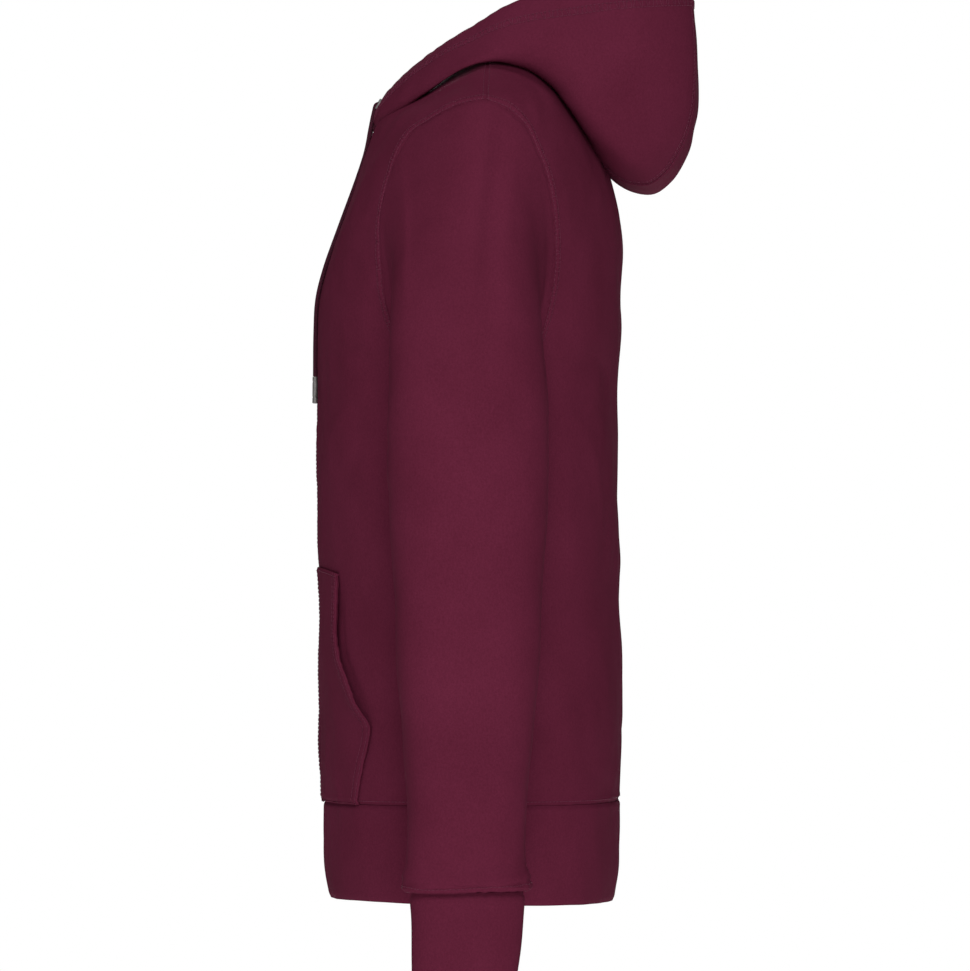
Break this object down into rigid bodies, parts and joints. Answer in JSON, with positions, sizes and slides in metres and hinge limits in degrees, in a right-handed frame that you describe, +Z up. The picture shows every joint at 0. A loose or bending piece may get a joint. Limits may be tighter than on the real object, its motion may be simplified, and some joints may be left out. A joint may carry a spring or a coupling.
{
  "type": "zip up hoodie",
  "caption": "Zip-up hooded sweatshirt in its hollow worn form, hood down and standing open behind the neck, with a pocket each side of the zip.",
  "frame": {"origin": "middle of the neck opening between the shoulder seams' inner ends, where the wearer's shoulders carry the garment", "axes": "+Z up along the body, the wearer faces -Y, the wearer's left is +X"},
  "size_m": [0.653, 0.3088, 0.793],
  "materials": {
    "fleece": "matte brushed fleece",
    "zip_tape": "matte woven tape",
    "zip_metal": "satin",
    "cord": "matte braid",
    "cord_metal": "satin"
  },
  "bodies": {
    "garment": {"back": "fleece", "front_left": "fleece", "front_right": "fleece", "sleeve_left": "fleece", "sleeve_right": "fleece", "cuff_left": "fleece", "cuff_right": "fleece", "hem_band": "fleece", "hood_left": "fleece", "hood_right": "fleece", "hood_centre": "fleece", "pocket_left": "fleece", "pocket_right": "fleece", "zip_tape_left": "zip_tape", "zip_tape_right": "zip_tape", "zip_slider": "zip_metal", "zip_box": "zip_metal", "drawcord_left": "cord", "drawcord_right": "cord", "cord_tip_left": "cord_metal", "cord_tip_right": "cord_metal", "eyelet_left": "cord_metal", "eyelet_right": "cord_metal"},
    "pull_tab": {"zip_pull": "zip_metal"}
  },
  "joints": [
    {"name": "pull_tab_hinge", "type": "hinge", "parent": "garment", "child": "pull_tab", "pos_m": [0, -0.09317, -0.07876], "axis": [-1, 0, 0], "range_deg": [0, 150]}
  ]
}
